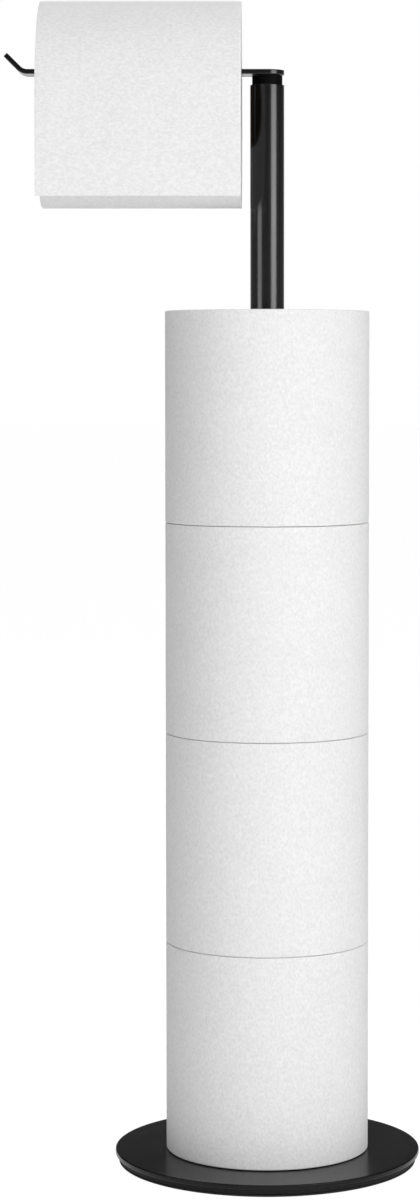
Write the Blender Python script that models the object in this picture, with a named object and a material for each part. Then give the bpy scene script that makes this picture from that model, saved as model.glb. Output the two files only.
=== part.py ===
"""Freestanding toilet paper holder, loaded with four spare rolls and one roll in use.

Metres, +Z up. The origin is on the floor under the pole's axis. The arm points to -X and the front is -Y.
A pressed cover, an iron weight and a foam pad make the base. A tube stands on it, and the arm's plug drops
into the tube's top, where the arm lifts out and turns.
"""

import math

import bmesh
import bpy
from mathutils import Matrix, Vector

MM = 0.001

# Clearances between neighbouring pieces.
SEAT_GAP = 0.3 * MM
FIT_GAP = 0.2 * MM

# Base, from the floor up: foam pad, iron weight, pressed cover with a lip round the weight's upper edge.
PAD_HEIGHT = 1.0 * MM
PAD_INSET = 0.2 * MM
WEIGHT_HEIGHT = 3.2 * MM
WEIGHT_RADIUS = 80.0 * MM
WEIGHT_CHAMFER = 0.4 * MM
COVER_HEIGHT = 1.8 * MM
COVER_LIP_DROP = 0.8 * MM
COVER_LIP_WALL = 1.4 * MM
COVER_TOP_ROUND = 1.4 * MM
COVER_UNDER_ROUND = 0.8 * MM

# Countersunk bolt that holds the pole down.
BOLT_RADIUS = 3.0 * MM
BOLT_HEAD_RADIUS = 6.0 * MM
BOLT_HEAD_RIM = 0.5 * MM
BOLT_HEAD_HEIGHT = 2.6 * MM
BOLT_REACH = 18.0 * MM
BOLT_HOLE_GAP = 0.3 * MM
SOCKET_RADIUS = 2.0 * MM
SOCKET_DEPTH = 1.6 * MM

# Pole: one tube with a threaded plug in its foot and a stop near its top.
POLE_RADIUS = 9.0 * MM
POLE_WALL = 0.8 * MM
POLE_EDGE = 0.4 * MM
FOOT_LENGTH = 24.0 * MM
FOOT_CHAMFER = 0.6 * MM
STOP_LENGTH = 12.0 * MM
STOP_BORE_RADIUS = 4.0 * MM

# Arm's plug: a neck shows between the tube and the arm, the rest sits in the tube.
NECK_RADIUS = 8.0 * MM
NECK_HEIGHT = 5.25 * MM
NECK_LAND = 6.0 * MM
PLUG_RADIUS = 7.6 * MM
PLUG_DEPTH = 35.0 * MM
PLUG_CHAMFER = 0.6 * MM
RING_SECTION_RADIUS = 0.65 * MM
RING_GROOVE_RADIUS = 6.45 * MM
RING_SPACING = 14.0 * MM
RING_GAP = 0.1 * MM

# Pivot stud under the arm, with its washer and lock nut in the plug's lower end.
STUD_RADIUS = 2.5 * MM
WASHER_RADIUS = 4.8 * MM
WASHER_THICKNESS = 1.0 * MM
NUT_SIDES = 6
NUT_SIDE_STEPS = 4
NUT_FLATS = 8.0 * MM
NUT_HEIGHT = 5.0 * MM
NUT_POCKET_RADIUS = 5.4 * MM
NUT_POCKET_DEPTH = 8.0 * MM
STUD_TAIL = 1.2 * MM

# Arm: a flat bar with a round end over the pole and a tip bent up.
ARM_WIDTH = 18.0 * MM
ARM_THICKNESS = 2.55 * MM
ARM_PAST_ROLL = 7.2 * MM
ARM_BEND_RADIUS = 5.0 * MM
ARM_BEND_DEGREES = 45.0
ARM_TIP_LENGTH = 10.1 * MM
ARM_TIP_CORNER = 2.0 * MM

# Toilet rolls: wound paper on a cardboard core.
CORE_BORE_RADIUS = 20.8 * MM
CORE_WALL = 1.0 * MM
CORE_SET_BACK = 0.3 * MM
PAPER_EDGE = 1.0 * MM
SPARE_COUNT = 4
SPARE_RADIUS = 54.3 * MM
SPARE_LENGTH = 111.9 * MM
HUNG_RADIUS = 53.95 * MM
HUNG_LENGTH = 105.4 * MM
HUNG_FROM_POLE = 4.6 * MM
HUNG_OVER_SPARES = 54.3 * MM
SHEET_THICKNESS = 0.4 * MM
SHEET_DROP = 50.6 * MM
SHEET_START_DEGREES = 90.0

# Steps round a full turn, and along short arcs.
LARGE_STEPS = 60
CORE_STEPS = 40
SMALL_STEPS = 28
RING_STEPS = 6
CORNER_STEPS = 3
PAPER_EDGE_STEPS = 2
BEND_STEPS = 6
SHEET_STEPS = 10

# Points closer than this are the same point.
WELD = 0.001 * MM

# Heights and radii that follow from the sizes above.
PAD_RADIUS = WEIGHT_RADIUS - PAD_INSET
WEIGHT_BOTTOM = PAD_HEIGHT + SEAT_GAP
COVER_BOTTOM = WEIGHT_BOTTOM + WEIGHT_HEIGHT + SEAT_GAP
BASE_TOP = COVER_BOTTOM + COVER_HEIGHT
BOLT_HOLE_RADIUS = BOLT_RADIUS + BOLT_HOLE_GAP
POLE_BORE_RADIUS = POLE_RADIUS - POLE_WALL
SPARE_PITCH = SPARE_LENGTH + SEAT_GAP
SPARES_TOP = BASE_TOP + SPARE_PITCH * SPARE_COUNT
HUNG_HEIGHT = SPARES_TOP + HUNG_OVER_SPARES + HUNG_RADIUS
HUNG_MIDDLE = -(POLE_RADIUS + HUNG_FROM_POLE + HUNG_LENGTH / 2)
ARM_TOP = HUNG_HEIGHT + math.sqrt((CORE_BORE_RADIUS - SEAT_GAP) ** 2 - (ARM_WIDTH / 2) ** 2)
ARM_BOTTOM = ARM_TOP - ARM_THICKNESS
ARM_STRAIGHT = POLE_RADIUS + HUNG_FROM_POLE + HUNG_LENGTH + ARM_PAST_ROLL
POLE_BOTTOM = BASE_TOP + SEAT_GAP
POLE_TOP = ARM_BOTTOM - NECK_HEIGHT
PLUG_BOTTOM = POLE_TOP - PLUG_DEPTH
NECK_TOP = ARM_BOTTOM - SEAT_GAP
STUD_HOLE_RADIUS = STUD_RADIUS + FIT_GAP
NUT_TOP = PLUG_BOTTOM + NUT_POCKET_DEPTH - SEAT_GAP - WASHER_THICKNESS - SEAT_GAP
CORE_RADIUS = CORE_BORE_RADIUS + CORE_WALL
PAPER_BORE_RADIUS = CORE_RADIUS + FIT_GAP
SHEET_RADIUS = HUNG_RADIUS + FIT_GAP


def clear_scene():
    for thing in list(bpy.data.objects):
        bpy.data.objects.remove(thing, do_unlink=True)


def principled(name, colour, roughness, metallic):
    material = bpy.data.materials.new(name)
    material.use_nodes = True
    material.diffuse_color = (*colour, 1.0)
    shader = material.node_tree.nodes["Principled BSDF"]
    shader.inputs["Base Color"].default_value = (*colour, 1.0)
    shader.inputs["Roughness"].default_value = roughness
    shader.inputs["Metallic"].default_value = metallic
    return material


def satin_black_paint():
    return principled("satin_black_paint", (0.012, 0.012, 0.013), 0.32, 0.0)


def coated_iron():
    return principled("coated_iron", (0.014, 0.014, 0.014), 0.6, 0.0)


def plated_steel():
    return principled("plated_steel", (0.55, 0.55, 0.56), 0.35, 1.0)


def black_foam():
    return principled("black_foam", (0.02, 0.02, 0.02), 0.9, 0.0)


def black_nitrile():
    return principled("black_nitrile", (0.015, 0.015, 0.015), 0.5, 0.0)


def tissue_paper():
    return principled("tissue_paper", (0.86, 0.86, 0.86), 0.95, 0.0)


def grey_cardboard():
    return principled("grey_cardboard", (0.45, 0.38, 0.3), 0.9, 0.0)


def joint_empty(name, location, parent=None):
    """An empty on a joint's axis, which carries the pieces that move with it."""
    empty = bpy.data.objects.new(name, None)
    bpy.context.scene.collection.objects.link(empty)
    empty.location = Vector(location) - (parent.matrix_world.translation if parent else Vector())
    empty.parent = parent
    bpy.context.view_layer.update()
    return empty


def finished(name, bm, material, parent=None):
    """The mesh as a smooth-shaded object. Its points are in world space, or the parent's if it has one."""
    bmesh.ops.recalc_face_normals(bm, faces=bm.faces)
    mesh = bpy.data.meshes.new(name)
    bm.to_mesh(mesh)
    bm.free()
    mesh.materials.append(material)
    mesh.shade_smooth()
    mesh.set_sharp_from_angle(angle=math.radians(30.0))
    thing = bpy.data.objects.new(name, mesh)
    bpy.context.scene.collection.objects.link(thing)
    thing.parent = parent
    return thing


def turned(outline, steps, closed=True):
    """A bmesh spun about Z from (radius, height) points. An open outline has both its ends on the axis."""
    bm = bmesh.new()
    points = [bm.verts.new((radius, 0.0, height)) for radius, height in outline]
    edges = [bm.edges.new(pair) for pair in zip(points, points[1:])]
    if closed:
        edges.append(bm.edges.new((points[-1], points[0])))
    bmesh.ops.spin(
        bm, geom=points + edges, cent=(0, 0, 0), axis=(0, 0, 1), angle=math.tau, steps=steps, use_merge=True
    )
    bmesh.ops.remove_doubles(bm, verts=bm.verts, dist=WELD)
    return bm


def arc(centre, radius, start, end, steps):
    """Points on an arc from one angle to another, in degrees, both ends included."""
    angles = [math.radians(start + (end - start) * step / steps) for step in range(steps + 1)]
    return [(centre[0] + radius * math.cos(a), centre[1] + radius * math.sin(a)) for a in angles]


def ring_outline(inner, outer, bottom, top, edge=0.0):
    """A ring's section, with its outer corners rounded where an edge radius is given."""
    if not edge:
        return [(inner, bottom), (outer, bottom), (outer, top), (inner, top)]
    lower = arc((outer - edge, bottom + edge), edge, -90.0, 0.0, PAPER_EDGE_STEPS)
    upper = arc((outer - edge, top - edge), edge, 0.0, 90.0, PAPER_EDGE_STEPS)
    return [(inner, bottom), *lower, *upper, (inner, top)]


def anti_slip_pad():
    outline = [(0.0, 0.0), (PAD_RADIUS, 0.0), (PAD_RADIUS, PAD_HEIGHT), (0.0, PAD_HEIGHT)]
    return finished("anti_slip_pad", turned(outline, LARGE_STEPS, closed=False), black_foam())


def base_weight():
    bottom, top = WEIGHT_BOTTOM, WEIGHT_BOTTOM + WEIGHT_HEIGHT
    cone_foot = bottom + BOLT_HEAD_RIM + BOLT_HOLE_GAP
    outline = [
        (BOLT_HEAD_RADIUS + BOLT_HOLE_GAP, bottom),
        (WEIGHT_RADIUS - WEIGHT_CHAMFER, bottom),
        (WEIGHT_RADIUS, bottom + WEIGHT_CHAMFER),
        (WEIGHT_RADIUS, top),
        (BOLT_HOLE_RADIUS, top),
        (BOLT_HOLE_RADIUS, bottom + BOLT_HEAD_HEIGHT + BOLT_HOLE_GAP),
        (BOLT_HEAD_RADIUS + BOLT_HOLE_GAP, cone_foot),
    ]
    return finished("base_weight", turned(outline, LARGE_STEPS), coated_iron())


def base_cover():
    lip_inner = WEIGHT_RADIUS + SEAT_GAP
    lip_outer = lip_inner + COVER_LIP_WALL
    lip_bottom = COVER_BOTTOM - COVER_LIP_DROP
    under = (lip_outer - COVER_UNDER_ROUND, lip_bottom + COVER_UNDER_ROUND)
    upper = (lip_outer - COVER_TOP_ROUND, BASE_TOP - COVER_TOP_ROUND)
    outline = [
        (BOLT_HOLE_RADIUS, COVER_BOTTOM),
        (lip_inner, COVER_BOTTOM),
        (lip_inner, lip_bottom),
        *arc(under, COVER_UNDER_ROUND, -90.0, 0.0, CORNER_STEPS),
        *arc(upper, COVER_TOP_ROUND, 0.0, 90.0, CORNER_STEPS),
        (BOLT_HOLE_RADIUS, BASE_TOP),
    ]
    return finished("base_cover", turned(outline, LARGE_STEPS), satin_black_paint())


def base_bolt():
    bottom = WEIGHT_BOTTOM + FIT_GAP
    outline = [
        (0.0, bottom + SOCKET_DEPTH),
        (SOCKET_RADIUS, bottom + SOCKET_DEPTH),
        (SOCKET_RADIUS, bottom),
        (BOLT_HEAD_RADIUS, bottom),
        (BOLT_HEAD_RADIUS, bottom + BOLT_HEAD_RIM),
        (BOLT_RADIUS, bottom + BOLT_HEAD_HEIGHT),
        (BOLT_RADIUS, POLE_BOTTOM + BOLT_REACH),
        (0.0, POLE_BOTTOM + BOLT_REACH),
    ]
    return finished("base_bolt", turned(outline, SMALL_STEPS, closed=False), plated_steel())


def pole_tube():
    outer = POLE_RADIUS
    outline = [
        (POLE_BORE_RADIUS, POLE_BOTTOM),
        (outer, POLE_BOTTOM),
        *arc((outer - POLE_EDGE, POLE_TOP - POLE_EDGE), POLE_EDGE, 0.0, 90.0, CORNER_STEPS),
        (POLE_BORE_RADIUS, POLE_TOP),
    ]
    return finished("pole_tube", turned(outline, SMALL_STEPS), satin_black_paint())


def foot_insert():
    """Threaded plug pressed into the tube's foot, with a blind hole for the bolt."""
    outer = POLE_BORE_RADIUS - FIT_GAP
    top = POLE_BOTTOM + FOOT_LENGTH
    outline = [
        (0.0, POLE_BOTTOM + BOLT_REACH + SEAT_GAP),
        (BOLT_RADIUS + FIT_GAP, POLE_BOTTOM + BOLT_REACH + SEAT_GAP),
        (BOLT_RADIUS + FIT_GAP, POLE_BOTTOM),
        (outer, POLE_BOTTOM),
        (outer, top - FOOT_CHAMFER),
        (outer - FOOT_CHAMFER, top),
        (0.0, top),
    ]
    return finished("foot_insert", turned(outline, SMALL_STEPS, closed=False), plated_steel())


def plug_stop():
    """Ring fixed in the tube, on which the arm's plug comes to rest."""
    top = PLUG_BOTTOM - SEAT_GAP
    outline = ring_outline(STOP_BORE_RADIUS, POLE_BORE_RADIUS - FIT_GAP, top - STOP_LENGTH, top)
    return finished("plug_stop", turned(outline, SMALL_STEPS), plated_steel())


def ring_heights():
    """Heights of the two sealing rings' centres, spread evenly over the plug below the neck's land."""
    middle = PLUG_BOTTOM + (PLUG_DEPTH - NECK_LAND) / 2
    return [middle - RING_SPACING / 2, middle + RING_SPACING / 2]


def neck_plug():
    groove_half = RING_SECTION_RADIUS + RING_GAP
    outline = [
        (NUT_POCKET_RADIUS, PLUG_BOTTOM),
        (PLUG_RADIUS - PLUG_CHAMFER, PLUG_BOTTOM),
        (PLUG_RADIUS, PLUG_BOTTOM + PLUG_CHAMFER),
    ]
    for height in ring_heights():
        outline += [
            (PLUG_RADIUS, height - groove_half),
            (RING_GROOVE_RADIUS, height - groove_half),
            (RING_GROOVE_RADIUS, height + groove_half),
            (PLUG_RADIUS, height + groove_half),
        ]
    outline += [
        (PLUG_RADIUS, POLE_TOP - NECK_LAND),
        (NECK_RADIUS, POLE_TOP - NECK_LAND),
        (NECK_RADIUS, NECK_TOP),
        (STUD_HOLE_RADIUS, NECK_TOP),
        (STUD_HOLE_RADIUS, PLUG_BOTTOM + NUT_POCKET_DEPTH),
        (NUT_POCKET_RADIUS, PLUG_BOTTOM + NUT_POCKET_DEPTH),
    ]
    return turned([(radius, height - POLE_TOP) for radius, height in outline], SMALL_STEPS)


def sealing_ring(height):
    centre = (RING_GROOVE_RADIUS + RING_GAP + RING_SECTION_RADIUS, height - POLE_TOP)
    section = arc(centre, RING_SECTION_RADIUS, 0.0, 360.0, RING_STEPS)[:-1]
    return turned(section, SMALL_STEPS)


def blank_outline():
    """The bar's flat blank in plan, along -X: a round end over the pole, two rounded corners at the tip."""
    half = ARM_WIDTH / 2
    bend_length = math.radians(ARM_BEND_DEGREES) * (ARM_BEND_RADIUS + ARM_THICKNESS)
    end = ARM_STRAIGHT + bend_length + ARM_TIP_LENGTH
    corner = ARM_TIP_CORNER
    return [
        *arc((0.0, 0.0), half, -90.0, 90.0, SMALL_STEPS // 2),
        *arc((corner - end, half - corner), corner, 90.0, 180.0, CORNER_STEPS),
        *arc((corner - end, corner - half), corner, 180.0, 270.0, CORNER_STEPS),
    ]


def bent(point):
    """Where a point of the flat blank lies once the tip is bent up. The bar's underside keeps its length."""
    bend_radius = ARM_BEND_RADIUS + ARM_THICKNESS
    past = -point.x - ARM_STRAIGHT
    if past <= 0.0:
        return point.copy()
    turn = min(past / bend_radius, math.radians(ARM_BEND_DEGREES))
    beyond = past - turn * bend_radius
    reach = ARM_STRAIGHT + (bend_radius - point.z) * math.sin(turn) + beyond * math.cos(turn)
    rise = bend_radius - (bend_radius - point.z) * math.cos(turn) + beyond * math.sin(turn)
    return Vector((-reach, point.y, rise))


def arm_bar():
    bm = bmesh.new()
    face = bm.faces.new([bm.verts.new((x, y, 0.0)) for x, y in blank_outline()])
    raised = bmesh.ops.extrude_face_region(bm, geom=[face])["geom"]
    tops = [item for item in raised if isinstance(item, bmesh.types.BMVert)]
    bmesh.ops.translate(bm, verts=tops, vec=(0, 0, ARM_THICKNESS))
    bend_length = math.radians(ARM_BEND_DEGREES) * (ARM_BEND_RADIUS + ARM_THICKNESS)
    for step in range(BEND_STEPS + 1):
        station = ARM_STRAIGHT + bend_length * step / BEND_STEPS
        everything = bm.verts[:] + bm.edges[:] + bm.faces[:]
        bmesh.ops.bisect_plane(bm, geom=everything, plane_co=(-station, 0, 0), plane_no=(1, 0, 0))
    for vert in bm.verts:
        vert.co = bent(vert.co) + Vector((0, 0, ARM_BOTTOM - POLE_TOP))
    return bm


def arm_stud():
    """Pivot stud welded under the bar, down through the plug."""
    top = ARM_BOTTOM - SEAT_GAP - POLE_TOP
    bottom = NUT_TOP - NUT_HEIGHT - STUD_TAIL - POLE_TOP
    outline = [(0.0, bottom), (STUD_RADIUS, bottom), (STUD_RADIUS, top), (0.0, top)]
    return turned(outline, SMALL_STEPS, closed=False)


def nut_washer():
    bottom = NUT_TOP + SEAT_GAP - POLE_TOP
    outline = ring_outline(STUD_HOLE_RADIUS, WASHER_RADIUS, bottom, bottom + WASHER_THICKNESS)
    return turned(outline, SMALL_STEPS)


def lock_nut():
    """A hexagon and the stud's hole, bridged at both ends."""
    bm = bmesh.new()
    bottom = NUT_TOP - NUT_HEIGHT - POLE_TOP
    corner_radius = NUT_FLATS / 2 / math.cos(math.pi / NUT_SIDES)
    hexagon = [Vector(point) for point in arc((0.0, 0.0), corner_radius, 0.0, 360.0, NUT_SIDES)[:-1]]
    outer = [
        start.lerp(end, step / NUT_SIDE_STEPS)
        for start, end in zip(hexagon, hexagon[1:] + hexagon[:1])
        for step in range(NUT_SIDE_STEPS)
    ]
    inner = arc((0.0, 0.0), STUD_HOLE_RADIUS, 0.0, 360.0, len(outer))[:-1]
    loops = []
    for outline in (outer, inner):
        for height in (bottom, bottom + NUT_HEIGHT):
            verts = [bm.verts.new((x, y, height)) for x, y in outline]
            loops.append([bm.edges.new((verts[i - 1], verts[i])) for i in range(len(verts))])
    for first, second in ((0, 1), (1, 3), (3, 2), (2, 0)):
        bmesh.ops.bridge_loops(bm, edges=loops[first] + loops[second])
    return bm


def roll_core(length):
    half = length / 2 - CORE_SET_BACK
    return turned(ring_outline(CORE_BORE_RADIUS, CORE_RADIUS, -half, half), CORE_STEPS)


def roll_paper(radius, length):
    outline = ring_outline(PAPER_BORE_RADIUS, radius, -length / 2, length / 2, PAPER_EDGE)
    return turned(outline, LARGE_STEPS)


def laid_along_arm(bm):
    """Turns a roll made about Z so that it lies along X."""
    quarter_turn = Matrix.Rotation(math.radians(90.0), 3, "Y")
    bmesh.ops.rotate(bm, verts=bm.verts, cent=(0, 0, 0), matrix=quarter_turn)
    return bm


def hung_sheet():
    """The loose end, as a skin: over the roll's top, then straight down from the roll's front."""
    bm = bmesh.new()
    path = arc((0.0, 0.0), SHEET_RADIUS, SHEET_START_DEGREES, 180.0, SHEET_STEPS)
    path.append((-SHEET_RADIUS, -SHEET_DROP))
    edge = [bm.verts.new((-HUNG_LENGTH / 2, y, z)) for y, z in path]
    edges = [bm.edges.new(pair) for pair in zip(edge, edge[1:])]
    grown = bmesh.ops.extrude_edge_only(bm, edges=edges)["geom"]
    moved = [item for item in grown if isinstance(item, bmesh.types.BMVert)]
    bmesh.ops.translate(bm, verts=moved, vec=(HUNG_LENGTH, 0, 0))
    return bm


def thickened(thing, thickness, offset):
    solid = thing.modifiers.new("thickness", "SOLIDIFY")
    solid.thickness = thickness
    solid.offset = offset
    solid.use_even_offset = True


def main():
    clear_scene()
    anti_slip_pad()
    base_weight()
    base_cover()
    base_bolt()
    pole_tube()
    foot_insert()
    plug_stop()

    neck = joint_empty("neck_joint", (0, 0, POLE_TOP))
    paint, steel, rubber = satin_black_paint(), plated_steel(), black_nitrile()
    finished("neck_plug", neck_plug(), paint, neck)
    for name, height in zip(("sealing_ring_lower", "sealing_ring_upper"), ring_heights()):
        finished(name, sealing_ring(height), rubber, neck)

    arm = joint_empty("arm_joint", (0, 0, POLE_TOP), neck)
    finished("arm_bar", arm_bar(), paint, arm)
    finished("arm_stud", arm_stud(), steel, arm)
    finished("nut_washer", nut_washer(), steel, arm)
    finished("lock_nut", lock_nut(), steel, arm)

    paper, card = tissue_paper(), grey_cardboard()
    hung = joint_empty("hung_roll_joint", (HUNG_MIDDLE, 0, HUNG_HEIGHT), arm)
    finished("hung_core", laid_along_arm(roll_core(HUNG_LENGTH)), card, hung)
    finished("hung_paper", laid_along_arm(roll_paper(HUNG_RADIUS, HUNG_LENGTH)), paper, hung)
    sheet = finished("hung_sheet", hung_sheet(), paper, hung)
    thickened(sheet, SHEET_THICKNESS, 1.0)

    for number in range(1, SPARE_COUNT + 1):
        middle = BASE_TOP + SPARE_PITCH * number - SPARE_LENGTH / 2
        spare = joint_empty(f"spare_roll_{number}_joint", (0, 0, middle))
        finished(f"spare_core_{number}", roll_core(SPARE_LENGTH), card, spare)
        finished(f"spare_paper_{number}", roll_paper(SPARE_RADIUS, SPARE_LENGTH), paper, spare)


main()
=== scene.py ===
import math

import bmesh
import bpy
from mathutils import Matrix, Vector, noise


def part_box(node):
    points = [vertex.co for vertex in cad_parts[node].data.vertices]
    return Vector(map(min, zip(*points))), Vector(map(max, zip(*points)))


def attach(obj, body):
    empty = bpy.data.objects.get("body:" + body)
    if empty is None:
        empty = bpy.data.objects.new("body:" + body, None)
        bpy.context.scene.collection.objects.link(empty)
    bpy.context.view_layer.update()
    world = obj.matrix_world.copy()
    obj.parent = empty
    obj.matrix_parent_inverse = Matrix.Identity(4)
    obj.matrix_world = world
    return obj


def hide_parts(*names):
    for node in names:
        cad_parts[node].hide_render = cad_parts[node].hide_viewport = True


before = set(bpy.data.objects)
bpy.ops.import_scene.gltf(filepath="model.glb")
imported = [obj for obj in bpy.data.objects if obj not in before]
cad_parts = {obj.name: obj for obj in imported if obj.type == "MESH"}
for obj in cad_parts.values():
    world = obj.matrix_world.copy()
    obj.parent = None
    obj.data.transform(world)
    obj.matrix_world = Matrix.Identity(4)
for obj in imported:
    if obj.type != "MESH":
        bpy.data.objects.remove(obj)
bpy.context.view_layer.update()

# A freestanding toilet paper holder in satin black, with four spare rolls and one in use, on a white floor.
# Metres, +Z up, the arm to -X, the front to -Y.
MM = 0.001

# Smallest distance between points, and the angle past which an edge stays sharp.
WELD = 0.0005 * MM
SHARP = math.radians(40.0)
QUARTER_TURN = math.radians(90.0)

# The box's sides along which a roll's length lies.
AXIS_X = 0
AXIS_Z = 2

# Steps round a full turn, and round a rounded corner.
DISC_STEPS = 256
TUBE_STEPS = 160
ROLL_STEPS = 192
RING_STEPS = 96
SECTION_STEPS = 20
CORNER_STEPS = 6

# The metal pieces' edges, walls and bends.
COVER_TOP_ROUND = 0.6 * MM
COVER_UNDER_ROUND = 0.5 * MM
COVER_LIP_DEPTH = 0.8 * MM
COVER_LIP_WALL = 1.4 * MM
COVER_HOLE_RADIUS = 3.3 * MM
WEIGHT_CHAMFER = 0.4 * MM
BOLT_CONE_HEIGHT = 2.9 * MM
BOLT_CONE_RADIUS = 6.3 * MM
PAD_ROUND = 0.35 * MM
POLE_WALL = 0.8 * MM
POLE_ROUND = 0.2 * MM
NECK_LAND = 6.0 * MM
PLUG_RADIUS = 7.6 * MM
PLUG_CHAMFER = 0.6 * MM
PLUG_POCKET_RADIUS = 5.4 * MM
PLUG_POCKET_DEPTH = 8.0 * MM
PLUG_BORE_RADIUS = 2.7 * MM
GROOVE_RADIUS = 6.45 * MM
GROOVE_GAP = 0.1 * MM
ARM_THICKNESS = 2.55 * MM
ARM_EDGE = 0.35 * MM
ARM_EDGE_SEGMENTS = 3
ARM_BEND_RADIUS = 5.0 * MM
ARM_BEND = math.radians(45.0)
ARM_BEND_STEPS = 14
ARM_TIP_LENGTH = 10.1 * MM
ARM_TIP_CORNER = 2.0 * MM

# How much the black coats reflect, as the shader's specular level.
TUBE_SHINE = 0.5
BASE_SHINE = 0.22

# The rolls. Their plies are drawn coarser than real ones, which are 0.1 mm, so that the winding shows.
PLY_PITCH = 0.55 * MM
PLY_NOISE_STEP = 0.61
ROLL_EDGE = 0.75 * MM
ROLL_SIDE_STEPS = 22
END_RELIEF = 0.1 * MM
SIDE_SOFTNESS = 0.06 * MM
SIDE_WAVE = 28.0 * MM
TAIL_STEP = 0.18 * MM
CORE_WALL = 1.0 * MM
CORE_SET_BACK = 0.5 * MM
PAPER_BORE_RADIUS = 21.85 * MM
ALONG_ARM = (0.0, QUARTER_TURN, 0.0)
SPARE_TAIL_SHARES = (0.18, 0.31, 0.24, 0.37)
HUNG_TAIL_SHARE = 0.6
HUNG_SEED = 9

# The loose sheet. It starts under the roll, at an angle counted from the back, and stands clear of the roll
# after a share of its way round.
SHEET_THICKNESS = 0.22 * MM
SHEET_START = math.radians(-110.0)
SHEET_SINK = 0.2 * MM
SHEET_LIFT = 0.2 * MM
SHEET_LIFTED_BY = 0.25
SHEET_ARC_STEPS = 96
SHEET_DROP_STEPS = 26
SHEET_WIDTH_STEPS = 106
SHEET_CURL = 0.9 * MM
SHEET_CURL_TURN = 2.2
SHEET_RIPPLE = 0.35 * MM
SHEET_RIPPLE_LENGTH = 38.0 * MM
SHEET_SEED = 3.1
PERFORATION_TOOTH = 0.35 * MM

# The view that matches the photograph: eye height, distance, downward tilt, lens and framing.
EYE_DISTANCE = 1623.8 * MM
EYE_HEIGHT = 421.36 * MM
EYE_TILT = math.radians(3.508)
LENS_PIXELS = 3050.1
CENTRE_X_PIXELS = 267.25
CENTRE_Y_PIXELS = 562.4
PHOTO_WIDTH = 420
PHOTO_HEIGHT = 1200
SENSOR_MM = 36.0
CLIP_NEAR = 0.05
CLIP_FAR = 100.0

# The studio: the floor's own share of its white, the walls' edges and the light of each part of the room.
STAGE_RADIUS = 24.0
STAGE_GLOW = 0.88
STAGE_WHITE = 1.09
WALL_TOP = math.radians(7.2)
DARK_FROM = math.radians(8.4)
DARK_TO = math.radians(38.0)
WALL_BACK = math.radians(26.0)
WALL_SIDE = math.radians(36.0)
BACK_LIGHT = 1.0
SIDE_LIGHT = 0.2
DARK_LIGHT = 0.0
CEILING_LIGHT = 0.9

# Soft lamps: name, azimuth from the camera's side to the right, distance, height, width, tallness, power in
# watts, and the height at which each is aimed on the pole's axis.
LAMPS = (
    ("key", math.radians(44.8), 1.9, 0.62, 1.2, 0.39, 12.6, 0.4),
    ("fill", math.radians(-52.8), 2.1, 0.54, 1.02, 0.24, 5.0, 0.4),
    ("overhead", math.radians(8.0), 1.22, 1.88, 1.4, 1.0, 11.2, 0.4),
    ("behind", math.radians(180.0), 1.3, 1.85, 1.4, 0.9, 9.0, 0.35),
    ("low_front", math.radians(12.0), 0.9, 0.05, 1.2, 0.1, 1.1, 0.05),
)


def linear(code):
    """An sRGB hex colour as the linear values that shaders take."""
    channels = [int(code[start:start + 2], 16) / 255 for start in (1, 3, 5)]
    values = [c / 12.92 if c <= 0.04045 else ((c + 0.055) / 1.055) ** 2.4 for c in channels]
    return (*values, 1.0)


def set_inputs(tree, node, **inputs):
    """Gives a node's inputs a value or another node's socket. An input goes by its name, with underscores for
    spaces, or by an underscore and its number."""
    for name, value in inputs.items():
        socket = node.inputs[int(name[1:])] if name[1:].isdigit() else node.inputs[name.replace("_", " ")]
        if isinstance(value, bpy.types.NodeSocket):
            tree.links.new(value, socket)
        else:
            socket.default_value = value


def add_node(tree, kind, settings=None, **inputs):
    """Adds a node with its settings and inputs."""
    node = tree.nodes.new(kind)
    for name, value in (settings or {}).items():
        setattr(node, name, value)
    set_inputs(tree, node, **inputs)
    return node


def new_material(name):
    """An empty material with its Principled shader."""
    material = bpy.data.materials.new(name)
    material.use_nodes = True
    return material, material.node_tree, material.node_tree.nodes["Principled BSDF"]


def placed_coordinates(tree, centre=(0, 0, 0), turn=(0, 0, 0)):
    """Object coordinates, moved and turned so that a round piece's axis is Z through the centre."""
    place = add_node(tree, "ShaderNodeTexCoord")
    mapping = add_node(
        tree, "ShaderNodeMapping", {"vector_type": "TEXTURE"}, Vector=place.outputs["Object"], Location=centre,
        Rotation=turn,
    )
    return mapping.outputs["Vector"]


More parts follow.
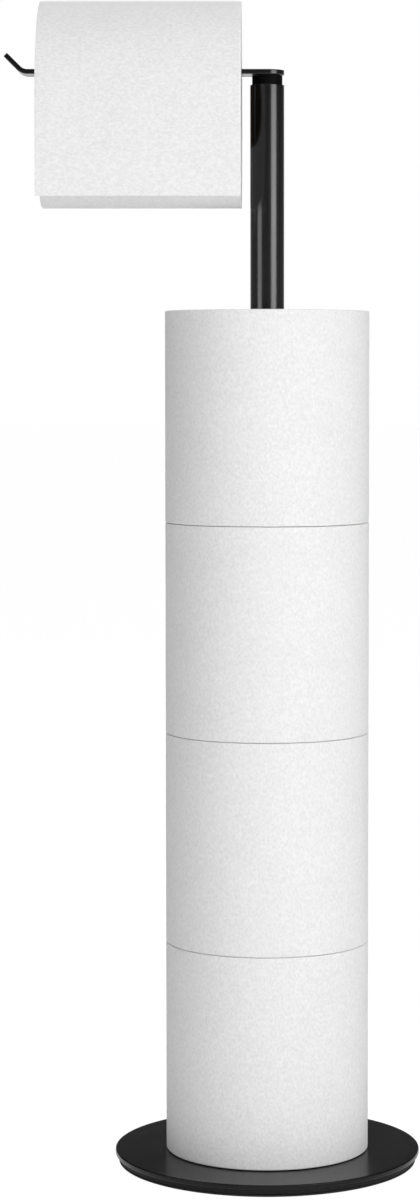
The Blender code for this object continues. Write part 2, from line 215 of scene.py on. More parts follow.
def powder_coated_steel(name, shine):
    """Satin black powder coat, sprayed and baked: a faint orange peel breaks up soft, clear reflections. The
    coat on the tube and the arm shines more than the one on the base."""
    material, tree, shader = new_material(name)
    peel_size, grain_size, patch_size = 1.6 * MM, 0.4 * MM, 22.0 * MM
    at = placed_coordinates(tree)
    peel = add_node(tree, "ShaderNodeTexNoise", Vector=at, Scale=1 / peel_size, Detail=1.0, Roughness=0.4)
    grain = add_node(tree, "ShaderNodeTexNoise", Vector=at, Scale=1 / grain_size, Detail=2.0, Roughness=0.6)
    broad = add_node(tree, "ShaderNodeTexNoise", Vector=at, Scale=1 / patch_size, Detail=3.0, Roughness=0.55)
    rough = add_node(
        tree, "ShaderNodeMapRange", Value=broad.outputs["Fac"], From_Min=0.3, From_Max=0.7, To_Min=0.22,
        To_Max=0.25,
    )
    tint = add_node(tree, "ShaderNodeValToRGB", Fac=grain.outputs["Fac"])
    tint.color_ramp.elements[0].position = 0.35
    tint.color_ramp.elements[0].color = linear("#060606")
    tint.color_ramp.elements[1].position = 0.75
    tint.color_ramp.elements[1].color = linear("#0b0b0b")
    lower = add_node(tree, "ShaderNodeBump", Height=grain.outputs["Fac"], Strength=0.3, Distance=0.002 * MM)
    bump = add_node(
        tree, "ShaderNodeBump", Height=peel.outputs["Fac"], Normal=lower.outputs["Normal"], Strength=0.5,
        Distance=0.004 * MM,
    )
    set_inputs(
        tree, shader, Base_Color=tint.outputs["Color"], Roughness=rough.outputs["Result"], IOR=1.5,
        Specular_IOR_Level=shine, Normal=bump.outputs["Normal"],
    )
    return material


def blackened_steel():
    """Turned steel with a dry black oxide skin: almost no sheen, with fine lathe marks round it."""
    material, tree, shader = new_material("blackened_steel")
    bloom_size = 3.0 * MM
    # The bands come at 0.31 of this size, so the marks are 0.9 mm apart, coarser than real ones, to show.
    mark_size = 3.0 * MM
    at = placed_coordinates(tree)
    bloom = add_node(tree, "ShaderNodeTexNoise", Vector=at, Scale=1 / bloom_size, Detail=3.0, Roughness=0.6)
    tint = add_node(tree, "ShaderNodeValToRGB", Fac=bloom.outputs["Fac"])
    tint.color_ramp.elements[0].position = 0.35
    tint.color_ramp.elements[0].color = linear("#030303")
    tint.color_ramp.elements[1].position = 0.75
    tint.color_ramp.elements[1].color = linear("#080808")
    marks = add_node(
        tree, "ShaderNodeTexWave", {"wave_type": "BANDS", "bands_direction": "Z"}, Vector=at,
        Scale=1 / mark_size, Distortion=0.4, Detail=2.0,
    )
    bump = add_node(tree, "ShaderNodeBump", Height=marks.outputs["Fac"], Strength=0.25, Distance=0.01 * MM)
    set_inputs(
        tree, shader, Base_Color=tint.outputs["Color"], Roughness=0.55, IOR=1.5, Specular_IOR_Level=0.06,
        Normal=bump.outputs["Normal"],
    )
    return material


def coated_iron():
    """Cast iron dipped in black primer: matt and slightly grainy, a little paler where the skin is thin."""
    material, tree, shader = new_material("coated_iron")
    grit_size = 1.1 * MM
    at = placed_coordinates(tree)
    grit = add_node(tree, "ShaderNodeTexNoise", Vector=at, Scale=1 / grit_size, Detail=4.0, Roughness=0.7)
    tint = add_node(tree, "ShaderNodeValToRGB", Fac=grit.outputs["Fac"])
    tint.color_ramp.elements[0].position = 0.45
    tint.color_ramp.elements[0].color = linear("#0d0d0d")
    tint.color_ramp.elements[1].position = 0.8
    tint.color_ramp.elements[1].color = linear("#262626")
    bump = add_node(tree, "ShaderNodeBump", Height=grit.outputs["Fac"], Strength=0.6, Distance=0.08 * MM)
    set_inputs(
        tree, shader, Base_Color=tint.outputs["Color"], Roughness=0.62, IOR=1.5, Specular_IOR_Level=0.2,
        Normal=bump.outputs["Normal"],
    )
    return material


def closed_cell_foam():
    """Black EVA foam, die-cut from sheet: matt, with cut cells under a millimetre across."""
    material, tree, shader = new_material("closed_cell_foam")
    cell_size = 0.7 * MM
    at = placed_coordinates(tree)
    cells = add_node(tree, "ShaderNodeTexVoronoi", Vector=at, Scale=1 / cell_size, Randomness=1.0)
    tint = add_node(tree, "ShaderNodeValToRGB", Fac=cells.outputs["Distance"])
    tint.color_ramp.elements[0].color = linear("#0e0e0e")
    tint.color_ramp.elements[1].position = 0.7
    tint.color_ramp.elements[1].color = linear("#262626")
    bump = add_node(tree, "ShaderNodeBump", Height=cells.outputs["Distance"], Strength=0.7, Distance=0.12 * MM)
    set_inputs(
        tree, shader, Base_Color=tint.outputs["Color"], Roughness=0.9, IOR=1.5, Normal=bump.outputs["Normal"]
    )
    return material


def moulded_nitrile():
    """Black nitrile rubber from a mould: soft sheen with fine dust in it."""
    material, tree, shader = new_material("moulded_nitrile")
    dust_size = 0.5 * MM
    at = placed_coordinates(tree)
    dust = add_node(tree, "ShaderNodeTexNoise", Vector=at, Scale=1 / dust_size, Detail=3.0, Roughness=0.6)
    tint = add_node(tree, "ShaderNodeValToRGB", Fac=dust.outputs["Fac"])
    tint.color_ramp.elements[0].color = linear("#0d0d0d")
    tint.color_ramp.elements[1].color = linear("#1f1f1f")
    bump = add_node(tree, "ShaderNodeBump", Height=dust.outputs["Fac"], Strength=0.3, Distance=0.02 * MM)
    set_inputs(
        tree, shader, Base_Color=tint.outputs["Color"], Roughness=0.45, IOR=1.52, Normal=bump.outputs["Normal"]
    )
    return material


def zinc_plated_steel():
    """Turned steel, barrel plated with bright zinc: grey with a faint blue cast and fine tool marks."""
    material, tree, shader = new_material("zinc_plated_steel")
    cast_size = 6.0 * MM
    # The bands come at 0.31 of this size, so the tool marks are 0.65 mm apart.
    mark_size = 2.1 * MM
    at = placed_coordinates(tree)
    cast = add_node(tree, "ShaderNodeTexNoise", Vector=at, Scale=1 / cast_size, Detail=2.0, Roughness=0.5)
    tint = add_node(tree, "ShaderNodeValToRGB", Fac=cast.outputs["Fac"])
    tint.color_ramp.elements[0].position = 0.35
    tint.color_ramp.elements[0].color = linear("#b4b9bd")
    tint.color_ramp.elements[1].position = 0.7
    tint.color_ramp.elements[1].color = linear("#cfcec8")
    marks = add_node(
        tree, "ShaderNodeTexWave", {"wave_type": "BANDS", "bands_direction": "Z"}, Vector=at,
        Scale=1 / mark_size, Distortion=0.6, Detail=2.0,
    )
    bump = add_node(tree, "ShaderNodeBump", Height=marks.outputs["Fac"], Strength=0.25, Distance=0.01 * MM)
    set_inputs(
        tree, shader, Base_Color=tint.outputs["Color"], Metallic=1.0, Roughness=0.3,
        Normal=bump.outputs["Normal"],
    )
    return material


def creped_tissue(name, centre, turn):
    """Bleached tissue, creped off a drying roll and lightly embossed: soft white with fine short wrinkles along
    the roll's axis, drawn coarser than real ones so that they show. Light goes a little way in, so its shades
    are soft."""
    material, tree, shader = new_material(name)
    crepe_size, emboss_size, patch_size = 1.2 * MM, 3.2 * MM, 26.0 * MM
    stretch, emboss_share, patch_share = (1.0, 1.0, 0.7), 0.35, 0.12
    at = placed_coordinates(tree, centre, turn)
    along = add_node(tree, "ShaderNodeVectorMath", {"operation": "MULTIPLY"}, _0=at, _1=stretch)
    crepe = add_node(
        tree, "ShaderNodeTexNoise", Vector=along.outputs[0], Scale=1 / crepe_size, Detail=3.0, Roughness=0.65
    )
    emboss = add_node(
        tree, "ShaderNodeTexVoronoi", {"feature": "SMOOTH_F1"}, Vector=at, Scale=1 / emboss_size, Smoothness=0.6
    )
    broad = add_node(tree, "ShaderNodeTexNoise", Vector=at, Scale=1 / patch_size, Detail=2.0, Roughness=0.5)
    height = add_node(
        tree, "ShaderNodeMath", {"operation": "MULTIPLY_ADD"}, _0=emboss.outputs["Distance"], _1=emboss_share,
        _2=crepe.outputs["Fac"],
    )
    tone = add_node(
        tree, "ShaderNodeMath", {"operation": "MULTIPLY_ADD"}, _0=broad.outputs["Fac"], _1=patch_share,
        _2=crepe.outputs["Fac"],
    )
    tint = add_node(tree, "ShaderNodeValToRGB", Fac=tone.outputs[0])
    tint.color_ramp.elements[0].position = 0.4
    tint.color_ramp.elements[0].color = linear("#ececec")
    tint.color_ramp.elements[1].position = 0.72
    tint.color_ramp.elements[1].color = linear("#fafafa")
    bump = add_node(tree, "ShaderNodeBump", Height=height.outputs[0], Strength=1.0, Distance=0.14 * MM)
    set_inputs(
        tree, shader, Base_Color=tint.outputs["Color"], Roughness=0.95, IOR=1.4, Normal=bump.outputs["Normal"],
        Subsurface_Weight=0.12, Subsurface_Radius=(1.0, 1.0, 1.0), Subsurface_Scale=0.6 * MM, Sheen_Weight=0.08,
        Sheen_Roughness=0.6,
    )
    return material


def wound_plies(name, centre, turn):
    """A roll's cut end: plies wound in one slightly wandering spiral, with painted shade in the thin gaps between
    them.
    """
    material, tree, shader = new_material(name)
    wander_size, fibre_size = 14.0 * MM, 0.8 * MM
    wander_plies, fibre_share = 2.2, 0.8
    at = placed_coordinates(tree, centre, turn)
    split = add_node(tree, "ShaderNodeSeparateXYZ", Vector=at)
    flat = add_node(tree, "ShaderNodeCombineXYZ", X=split.outputs["X"], Y=split.outputs["Y"])
    radius = add_node(tree, "ShaderNodeVectorMath", {"operation": "LENGTH"}, _0=flat.outputs[0])
    angle = add_node(
        tree, "ShaderNodeMath", {"operation": "ARCTAN2"}, _0=split.outputs["Y"], _1=split.outputs["X"]
    )
    share = add_node(tree, "ShaderNodeMath", {"operation": "DIVIDE"}, _0=angle.outputs[0], _1=math.tau)
    wander = add_node(tree, "ShaderNodeTexNoise", Vector=at, Scale=1 / wander_size, Detail=2.0, Roughness=0.5)
    turns = add_node(
        tree, "ShaderNodeMath", {"operation": "DIVIDE"}, _0=radius.outputs["Value"], _1=PLY_PITCH
    )
    wound = add_node(
        tree, "ShaderNodeMath", {"operation": "SUBTRACT"}, _0=turns.outputs[0], _1=share.outputs[0]
    )
    loose = add_node(
        tree, "ShaderNodeMath", {"operation": "MULTIPLY_ADD"}, _0=wander.outputs["Fac"], _1=wander_plies,
        _2=wound.outputs[0],
    )
    layer = add_node(tree, "ShaderNodeMath", {"operation": "FRACT"}, _0=loose.outputs[0])
    ridge = add_node(tree, "ShaderNodeMath", {"operation": "PINGPONG"}, _0=layer.outputs[0], _1=0.5)
    fibre = add_node(tree, "ShaderNodeTexNoise", Vector=at, Scale=1 / fibre_size, Detail=4.0, Roughness=0.7)
    height = add_node(
        tree, "ShaderNodeMath", {"operation": "MULTIPLY_ADD"}, _0=fibre.outputs["Fac"], _1=fibre_share,
        _2=ridge.outputs[0],
    )
    # The ramp paints the gaps between the plies darker, as painted shade; the fibre noise in it is the paper's
    # own tone.
    tint = add_node(tree, "ShaderNodeValToRGB", Fac=height.outputs[0])
    tint.color_ramp.elements[0].position = 0.15
    tint.color_ramp.elements[0].color = linear("#f2f2f2")
    tint.color_ramp.elements[1].position = 0.75
    tint.color_ramp.elements[1].color = linear("#fcfcfc")
    bump = add_node(tree, "ShaderNodeBump", Height=height.outputs[0], Strength=0.4, Distance=0.06 * MM)
    set_inputs(
        tree, shader, Base_Color=tint.outputs["Color"], Roughness=0.97, IOR=1.4, Normal=bump.outputs["Normal"],
        Subsurface_Weight=0.1, Subsurface_Radius=(1.0, 1.0, 1.0), Subsurface_Scale=0.6 * MM,
    )
    return material


def wound_cardboard(name, centre, turn):
    """Grey-brown core board, wound in a helix from wide strip: its butt seam shows as a shallow dark groove."""
    material, tree, shader = new_material(name)
    strip, seam_width, fibre_size = 70.0 * MM, 0.84 * MM, 1.2 * MM
    at = placed_coordinates(tree, centre, turn)
    split = add_node(tree, "ShaderNodeSeparateXYZ", Vector=at)
    angle = add_node(
        tree, "ShaderNodeMath", {"operation": "ARCTAN2"}, _0=split.outputs["Y"], _1=split.outputs["X"]
    )
    share = add_node(tree, "ShaderNodeMath", {"operation": "DIVIDE"}, _0=angle.outputs[0], _1=math.tau)
    rise = add_node(tree, "ShaderNodeMath", {"operation": "DIVIDE"}, _0=split.outputs["Z"], _1=strip)
    helix = add_node(
        tree, "ShaderNodeMath", {"operation": "SUBTRACT"}, _0=rise.outputs[0], _1=share.outputs[0]
    )
    layer = add_node(tree, "ShaderNodeMath", {"operation": "FRACT"}, _0=helix.outputs[0])
    seam = add_node(
        tree, "ShaderNodeMath", {"operation": "LESS_THAN"}, _0=layer.outputs[0], _1=seam_width / strip
    )
    fibre = add_node(tree, "ShaderNodeTexNoise", Vector=at, Scale=1 / fibre_size, Detail=5.0, Roughness=0.7)
    tint = add_node(tree, "ShaderNodeValToRGB", Fac=fibre.outputs["Fac"])
    tint.color_ramp.elements[0].position = 0.3
    tint.color_ramp.elements[0].color = linear("#9b8b78")
    tint.color_ramp.elements[1].position = 0.75
    tint.color_ramp.elements[1].color = linear("#bfae99")
    shaded = add_node(
        tree, "ShaderNodeMix", {"data_type": "RGBA"}, Factor=seam.outputs[0], _6=tint.outputs["Color"],
        _7=linear("#75685a"),
    )
    groove = add_node(
        tree, "ShaderNodeMath", {"operation": "SUBTRACT"}, _0=fibre.outputs["Fac"], _1=seam.outputs[0]
    )
    bump = add_node(tree, "ShaderNodeBump", Height=groove.outputs[0], Strength=0.5, Distance=0.08 * MM)
    set_inputs(
        tree, shader, Base_Color=shaded.outputs["Result"], Roughness=0.9, IOR=1.45,
        Normal=bump.outputs["Normal"],
    )
    return material


def arc(centre, radius, start, end, steps):
    """Points on an arc from one angle to another, in degrees, both ends included."""
    angles = [math.radians(start + (end - start) * step / steps) for step in range(steps + 1)]
    return [(centre[0] + radius * math.cos(a), centre[1] + radius * math.sin(a)) for a in angles]


def turned(outline, steps, closed=True):
    """A shape turned about Z from (radius, height) points. An open outline has both its ends on the axis."""
    bm = bmesh.new()
    points = [bm.verts.new((radius, 0.0, height)) for radius, height in outline]
    edges = [bm.edges.new(pair) for pair in zip(points, points[1:])]
    if closed:
        edges.append(bm.edges.new((points[-1], points[0])))
    bmesh.ops.spin(
        bm, geom=points + edges, cent=(0, 0, 0), axis=(0, 0, 1), angle=math.tau, steps=steps, use_merge=True
    )
    bmesh.ops.remove_doubles(bm, verts=bm.verts, dist=WELD)
    bmesh.ops.recalc_face_normals(bm, faces=bm.faces)
    return bm


def as_piece(name, bm, body, materials, replaces=(), thickness=0.0):
    """The finished mesh as a piece that rides on a body and stands for its CAD nodes. Its broad faces stay flat
    to the light right up to their rounded edges."""
    mesh = bpy.data.meshes.new(name)
    bm.to_mesh(mesh)
    bm.free()
    for material in materials:
        mesh.materials.append(material)
    mesh.shade_smooth()
    mesh.set_sharp_from_angle(angle=SHARP)
    piece = bpy.data.objects.new(name, mesh)
    bpy.context.scene.collection.objects.link(piece)
    if thickness:
        solid = piece.modifiers.new("thickness", "SOLIDIFY")
        solid.thickness = thickness
        solid.offset = 0.0
    weighted = piece.modifiers.new("weighted_normals", "WEIGHTED_NORMAL")
    weighted.keep_sharp = True
    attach(piece, body)
    if replaces:
        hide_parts(*replaces)
    return piece


def foam_pad(material):
    low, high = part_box("anti_slip_pad")
    outline = [
        (0.0, low.z),
        *arc((high.x - PAD_ROUND, low.z + PAD_ROUND), PAD_ROUND, -90.0, 0.0, CORNER_STEPS),
        *arc((high.x - PAD_ROUND, high.z - PAD_ROUND), PAD_ROUND, 0.0, 90.0, CORNER_STEPS),
        (0.0, high.z),
    ]
    bm = turned(outline, DISC_STEPS, closed=False)
    pad = as_piece("foam_pad", bm, "stand", [material], ["anti_slip_pad"])


def weight_disc(material):
    low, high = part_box("base_weight")
    outline = [
        (BOLT_CONE_RADIUS, low.z),
        (high.x - WEIGHT_CHAMFER, low.z),
        (high.x, low.z + WEIGHT_CHAMFER),
        (high.x, high.z - WEIGHT_CHAMFER),
        (high.x - WEIGHT_CHAMFER, high.z),
        (COVER_HOLE_RADIUS, high.z),
        (COVER_HOLE_RADIUS, low.z + BOLT_CONE_HEIGHT),
    ]
    as_piece("weight_disc", turned(outline, DISC_STEPS), "stand", [material], ["base_weight"])


def cover_shell(material):
    low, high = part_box("base_cover")
    edge = high.x
    lip_inner = edge - COVER_LIP_WALL
    under, over = COVER_UNDER_ROUND, COVER_TOP_ROUND
    outline = [
        (COVER_HOLE_RADIUS, low.z + COVER_LIP_DEPTH),
        (lip_inner, low.z + COVER_LIP_DEPTH),
        (lip_inner, low.z),
        *arc((edge - under, low.z + under), under, -90.0, 0.0, CORNER_STEPS),
        *arc((edge - over, high.z - over), over, 0.0, 90.0, CORNER_STEPS),
        (COVER_HOLE_RADIUS, high.z),
    ]
    as_piece("cover_shell", turned(outline, DISC_STEPS), "stand", [material], ["base_cover"])


def pole(material):
    low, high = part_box("pole_tube")
    bore = high.x - POLE_WALL
    outline = [
        (bore, low.z),
        (high.x, low.z),
        *arc((high.x - POLE_ROUND, high.z - POLE_ROUND), POLE_ROUND, 0.0, 90.0, CORNER_STEPS),
        (bore, high.z),
    ]
    as_piece("pole", turned(outline, TUBE_STEPS), "stand", [material], ["pole_tube"])


def arm_plug(material):
    low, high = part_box("neck_plug")
    tube_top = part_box("pole_tube")[1].z
    land = tube_top - NECK_LAND
    outline = [
        (PLUG_POCKET_RADIUS, low.z),
        (PLUG_RADIUS - PLUG_CHAMFER, low.z),
        (PLUG_RADIUS, low.z + PLUG_CHAMFER),
    ]
    for node in ("sealing_ring_lower", "sealing_ring_upper"):
        ring_low, ring_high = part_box(node)
        outline += [
            (PLUG_RADIUS, ring_low.z - GROOVE_GAP),
            (GROOVE_RADIUS, ring_low.z - GROOVE_GAP),
            (GROOVE_RADIUS, ring_high.z + GROOVE_GAP),
            (PLUG_RADIUS, ring_high.z + GROOVE_GAP),
        ]
    outline += [
        (PLUG_RADIUS, land - PLUG_CHAMFER),
        (high.x, land),
        (high.x, high.z),
        (PLUG_BORE_RADIUS, high.z),
        (PLUG_BORE_RADIUS, low.z + PLUG_POCKET_DEPTH),
        (PLUG_POCKET_RADIUS, low.z + PLUG_POCKET_DEPTH),
    ]
    as_piece("arm_plug", turned(outline, TUBE_STEPS), "neck", [material], ["neck_plug"])


def seal(name, node, material):
    low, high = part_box(node)
    section = (high.z - low.z) / 2
    outline = arc((high.x - section, (low.z + high.z) / 2), section, 0.0, 360.0, SECTION_STEPS)[:-1]
    as_piece(name, turned(outline, RING_STEPS), "neck", [material], [node])


def bent(point, straight, underside):
    """Where a point of the flat blank lies once the tip is bent up. The bar's underside keeps its length."""
    outer = ARM_BEND_RADIUS + ARM_THICKNESS
    past = -point.x - straight
    if past <= 0.0:
        return Vector((point.x, point.y, underside + point.z))
    turn = min(past / outer, ARM_BEND)
    beyond = past - turn * outer
    reach = straight + (outer - point.z) * math.sin(turn) + beyond * math.cos(turn)
    rise = outer - (outer - point.z) * math.cos(turn) + beyond * math.sin(turn)
    return Vector((-reach, point.y, underside + rise))


def arm(material):
    """Flat bar, cut with a round end and rounded tip corners, its edges broken, then its tip bent up."""
    low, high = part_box("arm_bar")
    half = high.y
    outer = ARM_BEND_RADIUS + ARM_THICKNESS
    straight = -low.x - outer * math.sin(ARM_BEND) - ARM_TIP_LENGTH * math.cos(ARM_BEND)
    end = straight + outer * ARM_BEND + ARM_TIP_LENGTH
    corner = ARM_TIP_CORNER
    outline = [
        *arc((0.0, 0.0), half, -90.0, 90.0, RING_STEPS // 2),
        *arc((corner - end, half - corner), corner, 90.0, 180.0, CORNER_STEPS),
        *arc((corner - end, corner - half), corner, 180.0, 270.0, CORNER_STEPS),
    ]
    bm = bmesh.new()
    face = bm.faces.new([bm.verts.new((x, y, 0.0)) for x, y in outline])
    raised = bmesh.ops.extrude_face_region(bm, geom=[face])["geom"]
    tops = [item for item in raised if isinstance(item, bmesh.types.BMVert)]
    bmesh.ops.translate(bm, verts=tops, vec=(0, 0, ARM_THICKNESS))
    rims = [edge for edge in bm.edges if abs(edge.verts[0].co.z - edge.verts[1].co.z) < WELD]
    bmesh.ops.bevel(
        bm, geom=rims, offset=ARM_EDGE, offset_type="OFFSET", affect="EDGES", segments=ARM_EDGE_SEGMENTS,
        profile=0.5, material=-1,
    )
    for step in range(ARM_BEND_STEPS + 1):
        station = straight + outer * ARM_BEND * step / ARM_BEND_STEPS
        everything = bm.verts[:] + bm.edges[:] + bm.faces[:]
        bmesh.ops.bisect_plane(bm, geom=everything, plane_co=(-station, 0, 0), plane_no=(1, 0, 0))
    for vert in bm.verts:
        vert.co = bent(vert.co, straight, low.z)
    bmesh.ops.recalc_face_normals(bm, faces=bm.faces)
    as_piece("arm", bm, "arm", [material], ["arm_bar"])


def lay_in_place(bm, length_axis, middle):
    """Turns a roll that stands on Z to lie along its own axis, and moves it to its place."""
    if length_axis == AXIS_X:
        bmesh.ops.rotate(bm, verts=bm.verts, cent=(0, 0, 0), matrix=Matrix.Rotation(QUARTER_TURN, 3, "Y"))
    bmesh.ops.translate(bm, verts=bm.verts, vec=middle)


def roll_relief(point, radius, half, seed, tail):
    """Moves a point of a perfect roll to where a real one has it: plies of uneven height on the cut ends, a
    soft side and the glued-down end of the last sheet."""
    reach = math.hypot(point.x, point.y)
    angle = math.atan2(point.y, point.x) / math.tau
    if abs(point.z) > half - WELD and reach < radius - ROLL_EDGE / 2:
        turns = math.floor(reach / PLY_PITCH - angle) + angle
        uneven = noise.noise(Vector((turns * PLY_NOISE_STEP, seed, point.z)))
        point.z += math.copysign(END_RELIEF, point.z) * uneven
        return
    wave = noise.noise(Vector((point.x, point.y, point.z)) / SIDE_WAVE + Vector((0, 0, seed)))
    spiral = ((angle - tail) % 1.0) * TAIL_STEP
    scale = 1 + (SIDE_SOFTNESS * wave - spiral) / radius
    if reach > radius / 2:
        point.x *= scale
        point.y *= scale


def roll_paper(name, node, body, length_axis, side, end, seed, tail):
    """The wound paper of a roll, as a ring with a point for every ply on its cut ends. The roll's place comes
    from its CAD node. Its two materials are for its side and for its ends and bore."""
    low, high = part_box(node)
    middle = (low + high) / 2
    half = (high[length_axis] - low[length_axis]) / 2
    radius = (high.y - low.y) / 2
    bore = PAPER_BORE_RADIUS
    flat = radius - ROLL_EDGE
    count = int((flat - bore) / PLY_PITCH)
    ends = [bore + (flat - bore) * step / count for step in range(count)]
    flank = half - ROLL_EDGE
    sides = [flank - 2 * flank * step / ROLL_SIDE_STEPS for step in range(1, ROLL_SIDE_STEPS)]
    outline = [
        *[(reach, half) for reach in ends],
        *arc((flat, half - ROLL_EDGE), ROLL_EDGE, 90.0, 0.0, CORNER_STEPS),
        *[(radius, height) for height in sides],
        *arc((flat, ROLL_EDGE - half), ROLL_EDGE, 0.0, -90.0, CORNER_STEPS),
        *[(reach, -half) for reach in reversed(ends)],
    ]
    bm = turned(outline, ROLL_STEPS)
    for face in bm.faces:
        centre = face.calc_center_median()
        on_end = abs(centre.z) > half - ROLL_EDGE / 4
        face.material_index = 1 if on_end or math.hypot(centre.x, centre.y) < bore + WELD else 0
    for vert in bm.verts:
        roll_relief(vert.co, radius, half, seed, tail)
    lay_in_place(bm, length_axis, middle)
    as_piece(name, bm, body, [side, end], [node])


def roll_core(name, node, body, length_axis, material):
    low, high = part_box(node)
    middle = (low + high) / 2
    half = (high[length_axis] - low[length_axis]) / 2 - CORE_SET_BACK
    radius = (high.y - low.y) / 2
    outline = [(radius - CORE_WALL, -half), (radius, -half), (radius, half), (radius - CORE_WALL, half)]
    bm = turned(outline, RING_STEPS)
    lay_in_place(bm, length_axis, middle)
    as_piece(name, bm, body, [material], [node])


def loose_sheet(paper_node, material):
    """The last wrap of the roll in use: it lifts off under the roll, goes up its back, over the top and down
    its front, and hangs free to a torn row of perforations."""
    low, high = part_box(paper_node)
    sheet_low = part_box("hung_sheet")[0]
    middle = (low + high) / 2
    radius = (high.y - low.y) / 2
    drop = middle.z - sheet_low.z
    path = []
    for step in range(SHEET_ARC_STEPS + 1):
        share = step / SHEET_ARC_STEPS
        angle = SHEET_START + (math.pi - SHEET_START) * share
        reach = radius - SHEET_SINK + (SHEET_SINK + SHEET_LIFT) * min(1.0, share / SHEET_LIFTED_BY)
        path.append((reach * math.cos(angle), reach * math.sin(angle)))
    front = path[-1][0]
    for step in range(1, SHEET_DROP_STEPS + 1):
        share = step / SHEET_DROP_STEPS
        path.append((front - SHEET_CURL * share * share * math.sin(share * SHEET_CURL_TURN), -drop * share))
    bm = bmesh.new()
    edge = [bm.verts.new((low.x, y, middle.z + z)) for y, z in path]
    edges = [bm.edges.new(pair) for pair in zip(edge, edge[1:])]
    width = high.x - low.x
    for step in range(SHEET_WIDTH_STEPS):
        grown = bmesh.ops.extrude_edge_only(bm, edges=edges)["geom"]
        moved = [item for item in grown if isinstance(item, bmesh.types.BMVert)]
        edges = [
            item for item in grown
            if isinstance(item, bmesh.types.BMEdge) and item.is_boundary
            and abs(item.verts[0].co.x - item.verts[1].co.x) < WELD
        ]
        bmesh.ops.translate(bm, verts=moved, vec=(width / SHEET_WIDTH_STEPS, 0, 0))
    bottom = min(vert.co.z for vert in bm.verts)
    for vert in bm.verts:
        share = max(0.0, (middle.z - vert.co.z) / drop)
        if vert.co.y > 0 or not share:
            continue
        across = (vert.co.x - low.x) / SHEET_RIPPLE_LENGTH
        vert.co.y += SHEET_RIPPLE * share * noise.noise(Vector((across, SHEET_SEED, share)))
        if vert.co.z < bottom + WELD:
            column = round((vert.co.x - low.x) / width * SHEET_WIDTH_STEPS)
            vert.co.z += PERFORATION_TOOTH * (column % 2)
    bmesh.ops.recalc_face_normals(bm, faces=bm.faces)
    sheet = as_piece("loose_sheet", bm, "hung_roll", [material], ["hung_sheet"], SHEET_THICKNESS)


def repaint(nodes, material):
    """A better finish on CAD nodes whose shape stays."""
    for name in nodes:
        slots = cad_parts[name].data.materials
        slots.clear()
        slots.append(material)


def white_stage(name, glow):
    """Pale studio paint. Seen directly or in a reflection, it is mostly an even white. The rest takes shadows."""
    material = bpy.data.materials.new(name)
    material.use_nodes = True
    tree = material.node_tree
    tree.nodes.clear()
    path = add_node(tree, "ShaderNodeLightPath")
    seen = add_node(
        tree, "ShaderNodeMath", {"operation": "MAXIMUM"}, _0=path.outputs["Is Camera Ray"],
        _1=path.outputs["Is Glossy Ray"],
    )
    any_seen = add_node(
        tree, "ShaderNodeMath", {"operation": "MAXIMUM"}, _0=seen.outputs[0],
        _1=path.outputs["Is Transmission Ray"],
    )
    share = add_node(tree, "ShaderNodeMath", {"operation": "MULTIPLY"}, _0=any_seen.outputs[0], _1=glow)
    paint = add_node(tree, "ShaderNodeBsdfDiffuse", Color=linear("#f6f6f6"))
    white = add_node(tree, "ShaderNodeEmission", Color=linear("#ffffff"), Strength=STAGE_WHITE)
    mixed = add_node(
        tree, "ShaderNodeMixShader", _0=share.outputs[0], _1=paint.outputs[0], _2=white.outputs[0]
    )
    add_node(tree, "ShaderNodeOutputMaterial", Surface=mixed.outputs[0])
    return material


def studio_floor():
    bm = bmesh.new()
    bmesh.ops.create_circle(bm, cap_ends=True, segments=RING_STEPS, radius=STAGE_RADIUS)
    mesh = bpy.data.meshes.new("studio_floor")
    bm.to_mesh(mesh)
    bm.free()
    mesh.materials.append(white_stage("white_floor", STAGE_GLOW))
    floor = bpy.data.objects.new("studio_floor", mesh)
    bpy.context.scene.collection.objects.link(floor)


def studio_world():
    """A white wall behind, grey walls at the sides, a dark band above and a soft ceiling, for every ray."""
    world = bpy.data.worlds.new("studio")
    bpy.context.scene.world = world
    world.use_nodes = True
    tree = world.node_tree
    tree.nodes.clear()
    place = add_node(tree, "ShaderNodeTexCoord")
    split = add_node(tree, "ShaderNodeSeparateXYZ", Vector=place.outputs["Generated"])
    wall = add_node(
        tree, "ShaderNodeMapRange", {"interpolation_type": "SMOOTHSTEP"}, Value=split.outputs["Y"],
        From_Min=math.cos(WALL_SIDE), From_Max=math.cos(WALL_BACK), To_Min=SIDE_LIGHT, To_Max=BACK_LIGHT,
    )
    rise = add_node(tree, "ShaderNodeValToRGB", Fac=split.outputs["Z"])
    rise.color_ramp.elements[0].position = math.sin(WALL_TOP)
    rise.color_ramp.elements[1].position = math.sin(DARK_FROM)
    upper = add_node(
        tree, "ShaderNodeMapRange", Value=split.outputs["Z"], From_Min=math.sin(DARK_TO), From_Max=1.0,
        To_Min=DARK_LIGHT, To_Max=CEILING_LIGHT,
    )
    level = add_node(
        tree, "ShaderNodeMix", Factor=rise.outputs["Color"], _2=wall.outputs["Result"],
        _3=upper.outputs["Result"],
    )
    light = add_node(tree, "ShaderNodeBackground", Color=level.outputs["Result"], Strength=1.0)
    add_node(tree, "ShaderNodeOutputWorld", Surface=light.outputs[0])


def softbox(name, azimuth, distance, height, width, tallness, power, aim_height):
    """A soft rectangular lamp that the camera doesn't see."""
    lamp = bpy.data.lights.new(name, "AREA")
    lamp.shape = "RECTANGLE"
    lamp.size = width
    lamp.size_y = tallness
    lamp.energy = power
    box = bpy.data.objects.new(name, lamp)
    bpy.context.scene.collection.objects.link(box)
    box.location = (distance * math.sin(azimuth), -distance * math.cos(azimuth), height)
    box.rotation_euler = (Vector((0, 0, aim_height)) - box.location).to_track_quat("-Z", "Y").to_euler()
    box.visible_camera = False


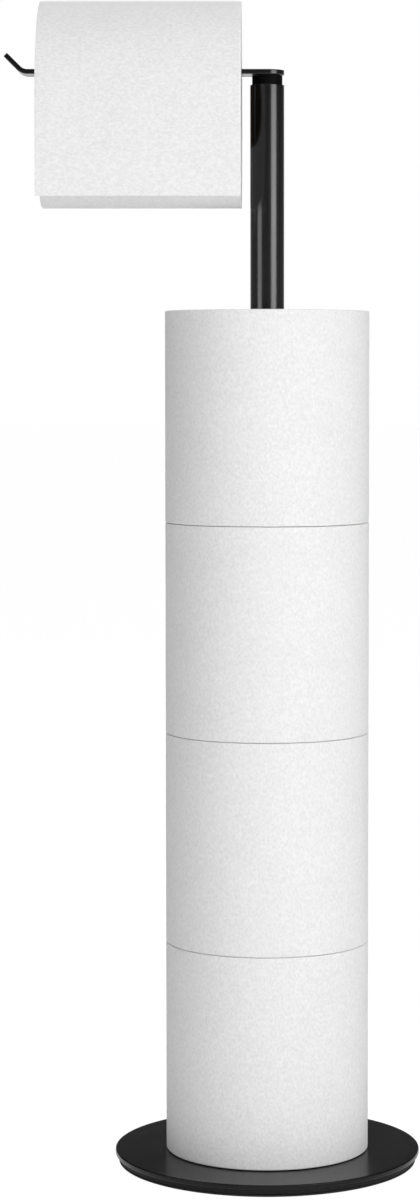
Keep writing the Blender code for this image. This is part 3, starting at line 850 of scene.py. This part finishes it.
def camera():
    """The photograph's viewpoint. The sensor's width goes with the picture's longer side, its height."""
    data = bpy.data.cameras.new("camera")
    data.sensor_width = SENSOR_MM
    data.lens = LENS_PIXELS * SENSOR_MM / PHOTO_HEIGHT
    data.shift_x = (PHOTO_WIDTH / 2 - CENTRE_X_PIXELS) / PHOTO_HEIGHT
    data.shift_y = (CENTRE_Y_PIXELS - PHOTO_HEIGHT / 2) / PHOTO_HEIGHT
    data.clip_start = CLIP_NEAR
    data.clip_end = CLIP_FAR
    eye = bpy.data.objects.new("camera", data)
    bpy.context.scene.collection.objects.link(eye)
    eye.location = (0.0, -EYE_DISTANCE, EYE_HEIGHT)
    eye.rotation_euler = (QUARTER_TURN - EYE_TILT, 0.0, 0.0)
    bpy.context.scene.camera = eye


camera()
studio_floor()
studio_world()
for lamp in LAMPS:
    softbox(*lamp)
bpy.context.scene.view_settings.view_transform = "Standard"

tube_coat = powder_coated_steel("powder_coated_tube_steel", TUBE_SHINE)
foam_pad(closed_cell_foam())
weight_disc(coated_iron())
cover_shell(powder_coated_steel("powder_coated_sheet_steel", BASE_SHINE))
pole(tube_coat)
arm_plug(blackened_steel())
rubber = moulded_nitrile()
seal("lower_seal", "sealing_ring_lower", rubber)
seal("upper_seal", "sealing_ring_upper", rubber)
arm(tube_coat)
repaint(["base_bolt", "foot_insert", "plug_stop", "arm_stud", "nut_washer", "lock_nut"], zinc_plated_steel())

upright = ((0, 0, 0), (0, 0, 0))
spare_side = creped_tissue("creped_tissue_upright", *upright)
spare_end = wound_plies("wound_plies_upright", *upright)
spare_board = wound_cardboard("wound_cardboard_upright", *upright)
for number, tail_share in enumerate(SPARE_TAIL_SHARES, start=1):
    body = f"spare_roll_{number}"
    roll_paper(
        f"spare_roll_{number}_paper", f"spare_paper_{number}", body, AXIS_Z, spare_side, spare_end, number,
        tail_share,
    )
    roll_core(f"spare_roll_{number}_core", f"spare_core_{number}", body, AXIS_Z, spare_board)

hung_low, hung_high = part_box("hung_paper")
lying = ((hung_low + hung_high) / 2, ALONG_ARM)
hung_side = creped_tissue("creped_tissue_lying", *lying)
hung_end = wound_plies("wound_plies_lying", *lying)
hung_board = wound_cardboard("wound_cardboard_lying", *lying)
roll_paper(
    "roll_in_use_paper", "hung_paper", "hung_roll", AXIS_X, hung_side, hung_end, HUNG_SEED, HUNG_TAIL_SHARE
)
roll_core("roll_in_use_core", "hung_core", "hung_roll", AXIS_X, hung_board)
loose_sheet("hung_paper", hung_side)
